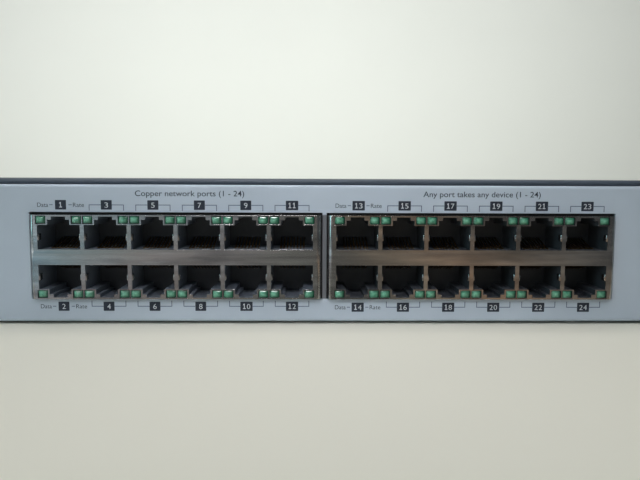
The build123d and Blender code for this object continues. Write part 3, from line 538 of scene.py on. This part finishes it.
def add_number(bm, number, x, z):
    """A port's number, centred on x and z."""
    figures = str(number)
    for i, figure in enumerate(figures):
        middle = x + (i - (len(figures) - 1) / 2) * DIGIT_PITCH
        if figure == "1":
            add_one(bm, middle, z)
        else:
            low = z - DIGIT_HEIGHT / 2
            add_text(bm, figure, DIGIT_HEIGHT, middle, low, ON_BOXES, width=DIGIT_WIDTH)


def print_shift(number, place):
    """How far a port's printing stands off its sockets, along x and z."""
    if place.x > web_x:
        return RIGHT_SHIFT
    return (WORDED_SHIFT if number in WORDED else 0, 0)


def print_panel():
    """Number boxes, numbers, bracket lines and captions round the sockets."""
    boxes, digits, lines, words = (bmesh.new() for _ in range(4))
    for number, place in ports.items():
        top = place.z > socket_mid
        shift_x, shift_z = print_shift(number, place)
        x = place.x + shift_x
        z = TOP_BOXES if top else LOW_BOXES + shift_z
        width = NARROW_BOX if number < 10 else WIDE_BOX
        add_slab(boxes, rounded(x, z, width, BOX_HEIGHT, BOX_CORNER), *ON_PANEL)
        add_number(digits, number, x, z)
        for side, name in ((-1, "Data"), (1, "Rate")):
            if number in WORDED:
                place_x, place_z = x + side * WORD_PLACE, z - WORD_DROP
                add_text(words, name, WORD_HEIGHT, place_x, place_z, ON_PANEL, width=WORD_WIDTH)
                add_slab(lines, rectangle(x + side * DASH_PLACE, z, DASH, LINE), *ON_PANEL)
                continue
            inner = width / 2
            middle = x + side * (inner + BRACKET) / 2
            add_slab(lines, rectangle(middle, z, BRACKET - inner + LINE, LINE), *ON_PANEL)
            leg_z = z - BRACKET_LEG / 2 if top else z + BRACKET_LEG / 2
            add_slab(lines, rectangle(x + side * BRACKET, leg_z, LINE, BRACKET_LEG), *ON_PANEL)
    for caption, x, width in CAPTIONS:
        add_text(words, caption, CAPTION_HEIGHT, x, CAPTION_LEVEL, ON_PANEL, width, CAPTION_BOLD)
    piece("number_boxes", mesh_from("number_boxes", boxes), NAVY_INK)
    piece("port_numbers", mesh_from("port_numbers", digits), WHITE_INK)
    piece("bracket_lines", mesh_from("bracket_lines", lines), LINE_INK)
    piece("captions", mesh_from("captions", words), NAVY_INK)


def print_legends():
    """Plain words over the status lamps and the buttons, and lines under and beside them."""
    words, lines = bmesh.new(), bmesh.new()
    low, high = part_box("status_lamps")
    radius = (high.z - low.z) / 2
    pitch = (high.x - low.x - 2 * radius) / (len(LAMP_WORDS) - 1)
    level = (low.z + high.z) / 2
    under = level - radius
    for i, word in enumerate(LAMP_WORDS):
        x = low.x + radius + i * pitch
        add_text(words, word, LEGEND, x, level + radius + LAMP_WORD_RISE, ON_PANEL)
        add_slab(lines, rectangle(x, under - TICK_DROP, LINE, TICK), *ON_PANEL)
    middle, span = (low.x + high.x) / 2, pitch * (len(LAMP_WORDS) - 1) + LINE
    add_slab(lines, rectangle(middle, under - RULE_DROP, span, LINE), *ON_PANEL)
    add_text(words, LAMP_TITLE, LEGEND, middle, under - TITLE_DROP, ON_PANEL)
    for node, word in BUTTON_WORDS.items():
        low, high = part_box(node)
        x, reach = (low.x + high.x) / 2, (high.x - low.x) / 2 + BUTTON_CLEAR
        level = (low.z + high.z) / 2
        add_text(words, word, LEGEND, x, level + reach + BUTTON_WORD_RISE, ON_PANEL)
        for side in (-1, 1):
            add_slab(lines, rectangle(x + side * reach, level, LINE, reach), *ON_PANEL)
    piece("legend_words", mesh_from("legend_words", words), NAVY_INK)
    piece("legend_lines", mesh_from("legend_lines", lines), LINE_INK)


# ---------------------------------------------------------------- lamp lenses of the sockets
LENS_OFFSET = (5.3 * MM, 11.25 * MM)  # from a port's centre line, and from the block's middle
LENS = (2.96 * MM, 2.36 * MM)
LENS_DEPTH = 5.9 * MM
LENS_CROWN = 0.5 * MM
LENS_CORNER = 0.45 * MM
LENS_BACKSET = 0.02 * MM  # from the sockets' face to the top of the crown
LENS_RINGS = 6
HIGHLIGHT_SHIFT = 0.16  # how far the painted highlight is off the middle, where a lens is 1 across and 1 high
HIGHLIGHT_REACH = 0.66  # from the painted highlight to where the painted shade is deepest
CROWNED_LENS = crowned_lens_plastic()


def add_lens(bm, x, z):
    """Rounded lens with straight sides and a crowned front.

    Its painted-shade layer grows from a painted highlight left of the middle to the lens's far
    edges.
    """
    w, h = LENS
    y_back, y_rim = socket_face + LENS_DEPTH, socket_face + LENS_CROWN + LENS_BACKSET
    outline = rounded(x, z, w, h, LENS_CORNER)
    loops = [[(px, y, pz) for px, pz in outline] for y in (y_back, y_rim)]
    for ring in range(1, LENS_RINGS):
        angle = math.pi / 2 * ring / LENS_RINGS
        shrink, y = math.cos(angle), y_rim - LENS_CROWN * math.sin(angle)
        loops.append([(x + (px - x) * shrink, y, z + (pz - z) * shrink) for px, pz in outline])
    lens_shade = bm.verts.layers.float["lens_shade"]
    rows = [[bm.verts.new(co) for co in loop] for loop in loops]
    for row in rows:
        for vert in row:
            # Painted shade grows from the painted highlight, left of the middle, out to the lens's
            # edges.
            across, up = (vert.co.x - x) / w + HIGHLIGHT_SHIFT, (vert.co.z - z) / h - HIGHLIGHT_SHIFT / 2
            vert[lens_shade] = min(1.0, math.hypot(across, up) / HIGHLIGHT_REACH)
    count = len(outline)
    bm.faces.new(reversed(rows[0]))
    for a, b in zip(rows, rows[1:]):
        for i in range(count):
            j = (i + 1) % count
            face = bm.faces.new((b[i], b[j], a[j], a[i]))
            face.smooth = a is not rows[0]
    tip = bm.verts.new((x, y_rim - LENS_CROWN, z))
    tip[lens_shade] = HIGHLIGHT_SHIFT / HIGHLIGHT_REACH
    for i in range(count):
        face = bm.faces.new((rows[-1][i], tip, rows[-1][(i + 1) % count]))
        face.smooth = True


def crown_lenses():
    """Crowned lenses in the corners of the ports, in place of the flat CAD ones."""
    for block, (low, high) in shield_boxes.items():
        bm = bmesh.new()
        bm.verts.layers.float.new("lens_shade")
        for place in ports.values():
            if not low.x < place.x < high.x:
                continue
            row = 1 if place.z > socket_mid else -1
            for side in (-1, 1):
                add_lens(bm, place.x + side * LENS_OFFSET[0], socket_mid + row * LENS_OFFSET[1])
        bmesh.ops.recalc_face_normals(bm, faces=bm.faces)
        mesh = mesh_from("lenses", bm)
        lenses = piece(f"crowned_lenses_{block}", mesh, CROWNED_LENS)
        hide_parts(f"jack_lenses_{block}")


# ---------------------------------------------------------------- foam behind the panel
FOAM_FRONT = panel_face + 1.05 * MM
FOAM_BACK = panel_face + 2.2 * MM
FOAM_HEIGHT = 2.7 * MM
FOAM_RISE = 1.4 * MM  # from the shields' top to the middle of the foam over them
FOAM_GAP = 0.1 * MM


def pack_gaskets():
    """Dark foam over the shields and between them, which keeps light from showing."""
    bm = bmesh.new()
    left, right = shield_boxes["left"], shield_boxes["right"]
    low, top = left[0].z, left[1].z
    middle, across = (left[0].x + right[1].x) / 2, right[1].x - left[0].x
    add_slab(bm, rectangle(middle, top + FOAM_RISE, across, FOAM_HEIGHT), FOAM_FRONT, FOAM_BACK)
    between = right[0].x - left[1].x - FOAM_GAP
    add_slab(bm, rectangle(web_x, (low + top) / 2, between, top - low), FOAM_FRONT, FOAM_BACK)
    foam = FINISHES["foot_rubber"]
    piece("shield_gaskets", mesh_from("shield_gaskets", bm), foam)


# ---------------------------------------------------------------- stage and lights
CARD_WIDTH = 1.6
CARD_DEPTH = 1.5
CARD_PLACE = (0.1, panel_face - 0.01 - CARD_DEPTH / 2, 0.002)
CARD_STOPS = (  # place along X, and the colour there
    (-0.45, (1.5, 1.6, 1.65)),
    (-0.2, (1.3, 1.4, 1.45)),
    (-0.13, (0.24, 0.38, 0.46)),
    (-0.05, (0.22, 0.36, 0.45)),
    (-0.02, (0.36, 0.5, 0.56)),
    (0.005, (0.45, 0.42, 0.44)),
    (0.04, (0.31, 0.29, 0.29)),
    (0.09, (0.17, 0.17, 0.155)),
    (0.118, (0.085, 0.08, 0.07)),
    (0.14, (0.33, 0.27, 0.2)),
    (0.165, (0.41, 0.26, 0.165)),
    (0.2, (0.22, 0.18, 0.14)),
    (0.235, (0.19, 0.175, 0.155)),
    (0.26, (0.07, 0.07, 0.072)),
)


def flat_item(name, size):
    """A flat rectangle in the scene, centred on the origin."""
    bm = bmesh.new()
    bmesh.ops.create_grid(bm, x_segments=1, y_segments=1, size=0.5)
    bmesh.ops.scale(bm, vec=(*size, 1), verts=bm.verts)
    item = bpy.data.objects.new(name, mesh_from(name, bm))
    bpy.context.scene.collection.objects.link(item)
    return item


def stage_plane(name, size, matrix, color):
    item = flat_item(name, size)
    item.matrix_world = matrix
    surface = Surface(name, color, 0.6, Specular_IOR_Level=0.0)
    item.data.materials.append(surface.mottle(0.3, 0.01).bumps(0.004, 0.00002).mat)


def soft_light(name, place, target, size, power, color, spread=180):
    """Area light that no camera sees, with its beam narrowed to spread degrees."""
    data = bpy.data.lights.new(name, "AREA")
    data.shape = "RECTANGLE"
    data.size, data.size_y = size
    data.energy = power
    data.color = color
    data.spread = math.radians(spread)
    lamp = bpy.data.objects.new(name, data)
    bpy.context.scene.collection.objects.link(lamp)
    place = Vector(place)
    aim = (Vector(target) - place).to_track_quat("-Z", "Y")
    lamp.matrix_world = Matrix.Translation(place) @ aim.to_matrix().to_4x4()
    lamp.visible_camera = False
    return lamp


def reflection_card():
    """Flat card over the floor, seen only in reflections, whose colour changes along X."""
    card = flat_item("reflection_card", (CARD_WIDTH, CARD_DEPTH))
    card.location = CARD_PLACE
    glow = Surface("reflection_card", (0, 0, 0, 1), 1.0)
    split = glow.add("ShaderNodeSeparateXYZ")
    glow.link(glow.place, split.inputs["Vector"])
    along = glow.ramp(split.outputs["X"], -CARD_WIDTH / 2, CARD_WIDTH / 2, 0.0, 1.0)
    ramp = glow.add("ShaderNodeValToRGB")
    ramp.color_ramp.interpolation = "EASE"
    elements = ramp.color_ramp.elements
    while len(elements) < len(CARD_STOPS):
        elements.new(0.5)
    for element, (x, color) in zip(elements, CARD_STOPS):
        element.position = (x - CARD_PLACE[0]) / CARD_WIDTH + 0.5
        element.color = (*color, 1)
    glow.link(along, ramp.inputs["Fac"])
    glow.link(ramp.outputs["Color"], glow.shader.inputs["Emission Color"])
    glow.shader.inputs["Emission Strength"].default_value = 1.0
    card.data.materials.append(glow.mat)
    card.visible_camera = False
    card.visible_diffuse = False
    card.visible_shadow = False
    card.visible_transmission = False


def set_lights():
    """Soft light from above and the left, a small lamp on the sockets and a wash up the wall."""
    sockets = (0.1, panel_face, 0.026)
    left_front = (0.05, panel_face, 0.02)
    soft_light("sky", (0.05, -0.1, 1.5), (0.05, -0.1, 0), (1.6, 1.2), 14, (1.0, 0.99, 0.97))
    soft_light("key", (0.05, -0.62, 0.5), sockets, (0.16, 0.16), 0.047, (1.0, 0.96, 1.0), spread=21)
    soft_light("left_window", (-0.9, -0.7, 0.38), left_front, (0.25, 0.5), 1.6, (0.5, 0.93, 1.0))
    fill = soft_light("right_fill", (0.6, -0.9, 0.34), sockets, (0.3, 0.3), 0.3, (1.0, 0.98, 1.0))
    fill.visible_glossy = False
    soft_light("glint", (-0.16, -0.6, 0.26), sockets, (0.07, 0.07), 0.2, (1.0, 1.0, 1.0))
    wall_foot = (-0.05, 1.2, -0.1)
    soft_light("wall_wash", (-0.05, 0.35, 0.45), wall_foot, (1.5, 0.3), 5.9, (0.99, 1.0, 1.01))


def set_stage():
    """Plain pale floor and wall, the lights and the room's dim surroundings."""
    stage_plane("floor", (6, 6), Matrix.Translation((0, 0, 0)), linear(216, 215, 203))
    upright = Matrix.Rotation(math.pi / 2, 4, "X")
    wall_place = Matrix.Translation((0, 1.2, 1.5))
    stage_plane("wall", (8, 4), wall_place @ upright, linear(236, 238, 233))
    set_lights()
    reflection_card()
    world = bpy.data.worlds.new("room")
    world.use_nodes = True
    background = world.node_tree.nodes["Background"]
    background.inputs["Color"].default_value = linear(150, 156, 160)
    background.inputs["Strength"].default_value = 0.3
    bpy.context.scene.world = world
    bpy.context.scene.view_settings.view_transform = "Standard"


aim_camera()
finish_cad()
print_panel()
print_legends()
crown_lenses()
pack_gaskets()
set_stage()
